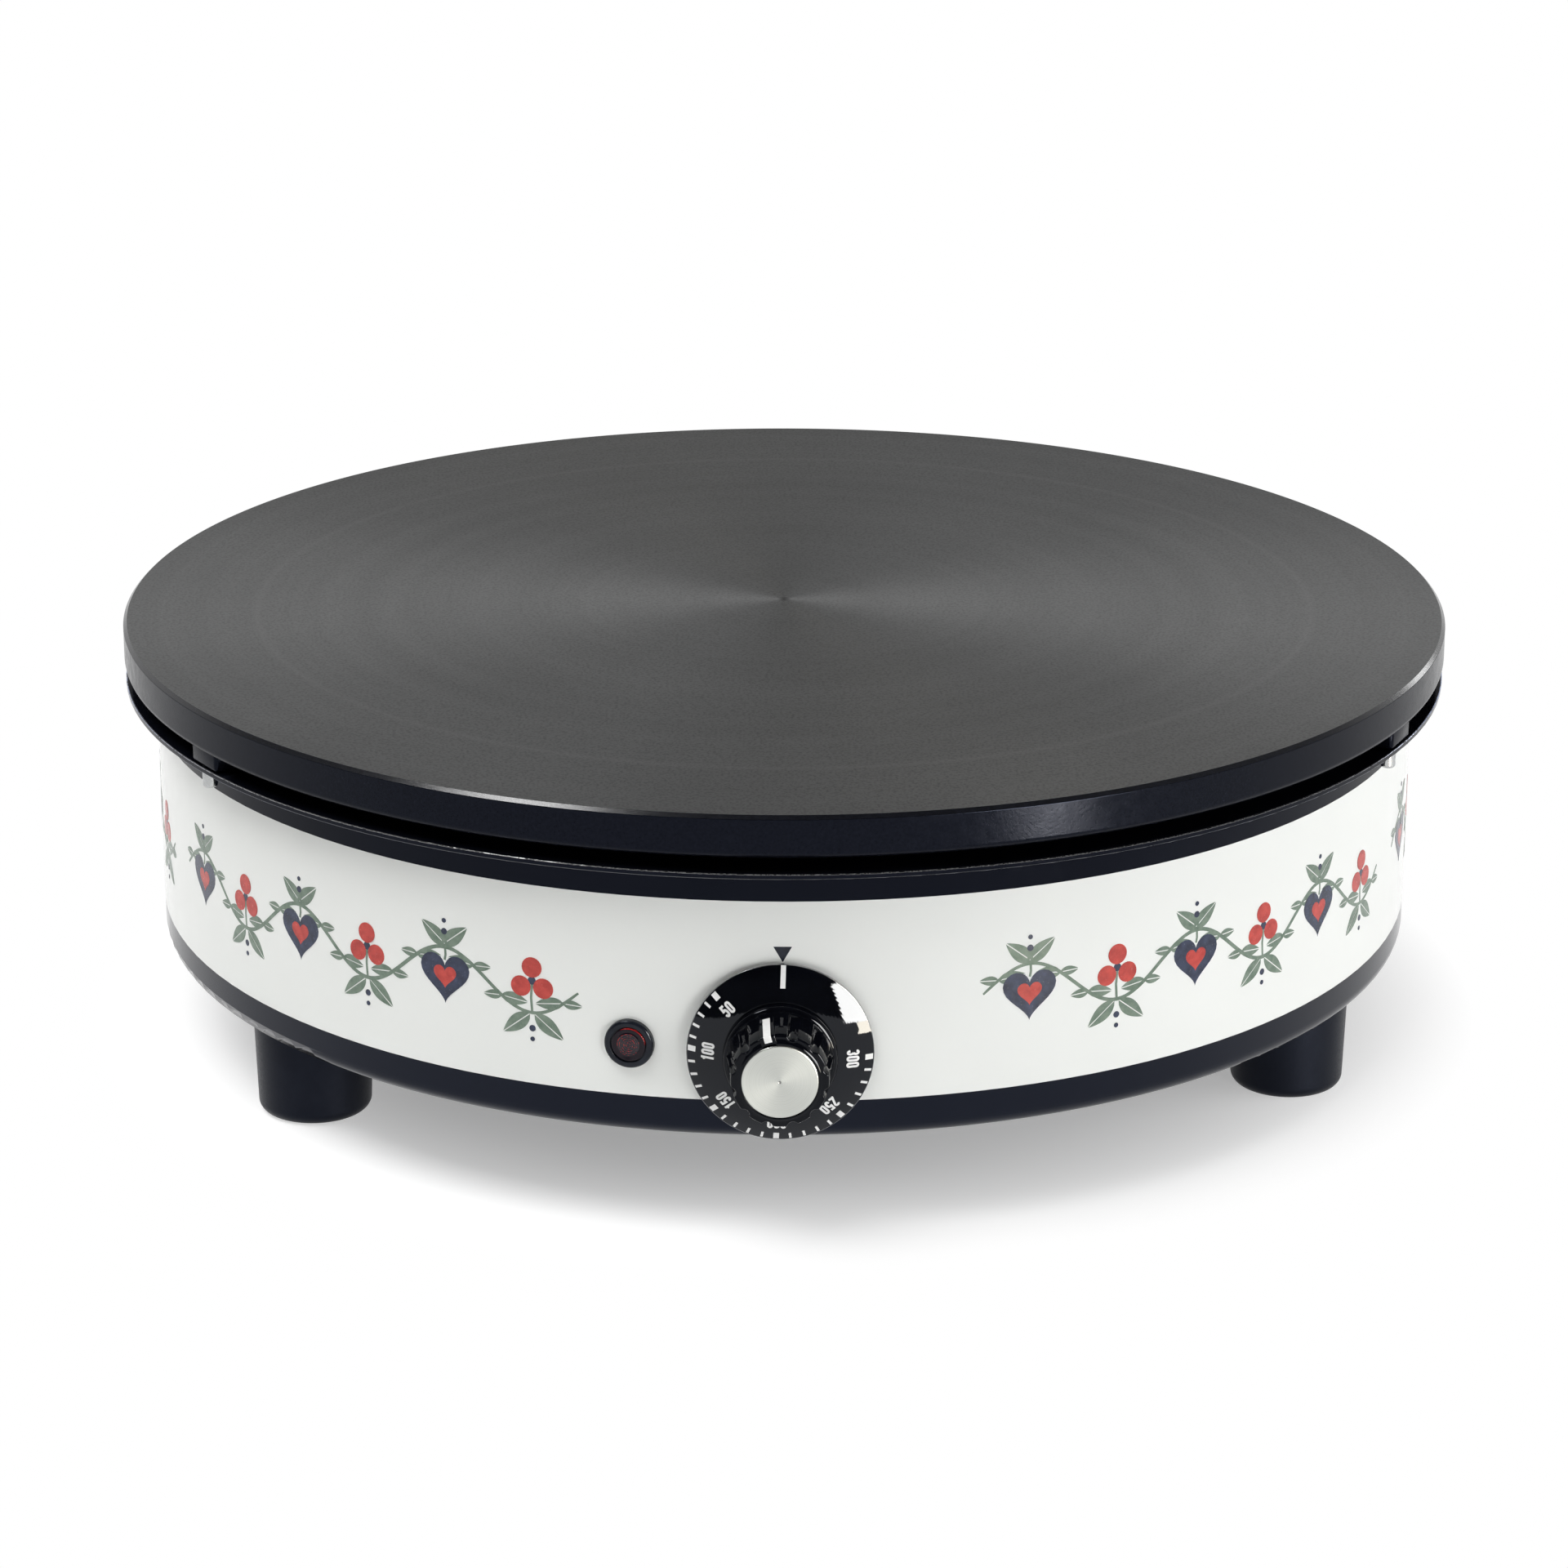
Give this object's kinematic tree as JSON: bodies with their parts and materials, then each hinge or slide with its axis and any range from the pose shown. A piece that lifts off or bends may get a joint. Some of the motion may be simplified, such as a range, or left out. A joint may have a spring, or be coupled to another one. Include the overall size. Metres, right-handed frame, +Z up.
{
  "type": "electric crepe maker",
  "caption": "Countertop electric crepe maker: a round cast-iron griddle plate on a white and black sheet-metal drum with feet, a thermostat dial and a pilot lamp.",
  "frame": {"origin": "on the griddle plate's axis, on the surface that the feet stand on", "axes": "+Z up along the plate's axis; the dial faces -Y; +X is to the right of someone facing the dial"},
  "size_m": [0.3999, 0.4292, 0.128],
  "materials": {
    "cast_iron": "machined top with fine turning marks, satin dark edge",
    "bright_steel": "bright zinc-plated steel",
    "element_sheath": "dark oxidised stainless sheath",
    "steatite": "matt cream steatite",
    "tinned_brass": "bright tinned brass",
    "ceramic_fibre": "soft felted ceramic fibre",
    "black_enamel": "glossy black vitreous enamel",
    "white_enamel": "glossy off-white vitreous enamel",
    "foot_rubber": "black rubber, satin",
    "black_plastic": "black thermoset, satin",
    "copper": "bright drawn copper",
    "dial_black": "polished black plastic",
    "knob_black": "polished black thermoset",
    "index_white": "white paint-filled strip",
    "spun_aluminium": "spun aluminium with circular brushing",
    "red_lens": "dark red ribbed clear plastic",
    "seal_rubber": "black rubber",
    "gland_black": "black moulded nylon",
    "natural_nylon": "natural nylon",
    "brown_lead": "brown wire insulation",
    "blue_lead": "blue wire insulation",
    "green_lead": "green wire insulation"
  },
  "bodies": {
    "base": {"base_pan": "black_enamel", "block_poles": "tinned_brass", "block_screws": "bright_steel", "bulb_clip": "bright_steel", "bulb_clip_screws": "bright_steel", "capillary_tube": "copper", "clamp_nuts": "bright_steel", "clamp_studs": "bright_steel", "drum_band": "white_enamel", "earth_nut": "bright_steel", "earth_stud": "bright_steel", "element_beads": "steatite", "element_clamp": "bright_steel", "element_tabs": "tinned_brass", "foot_front_left": "foot_rubber", "foot_front_right": "foot_rubber", "foot_nuts": "bright_steel", "foot_rear": "foot_rubber", "foot_screws": "bright_steel", "foot_washers": "bright_steel", "gland_body": "gland_black", "gland_dome": "gland_black", "gland_insert": "seal_rubber", "gland_locknut": "gland_black", "gland_seal": "seal_rubber", "griddle_plate": "cast_iron", "heat_tray": "black_enamel", "heating_element": "element_sheath", "insulation_disc": "ceramic_fibre", "lamp_bezel": "black_plastic", "lamp_lens": "red_lens", "lamp_nut": "black_plastic", "lamp_tabs": "tinned_brass", "lead_earth": "green_lead", "lead_lamp_live": "brown_lead", "lead_lamp_neutral": "blue_lead", "lead_live": "brown_lead", "lead_neutral": "blue_lead", "lead_switched": "brown_lead", "plate_pins": "bright_steel", "spacer_tube": "bright_steel", "terminal_block": "natural_nylon", "thermostat_body": "black_plastic", "thermostat_bulb": "copper", "thermostat_screws": "bright_steel", "thermostat_strap": "bright_steel", "thermostat_tabs": "tinned_brass", "tie_rod": "bright_steel", "tie_rod_nut": "bright_steel", "tie_rod_washer": "bright_steel", "upper_band": "black_enamel"},
    "dial": {"control_shaft": "bright_steel", "dial_disc": "dial_black", "knob_grip": "knob_black", "knob_index": "index_white", "knob_cap": "spun_aluminium", "knob_spring": "bright_steel"}
  },
  "joints": [
    {"name": "dial_turn", "type": "hinge", "parent": "base", "child": "dial", "pos_m": [0, -0.1924, 0.057], "axis": [0, 1, 0], "range_deg": [0, 270]}
  ]
}
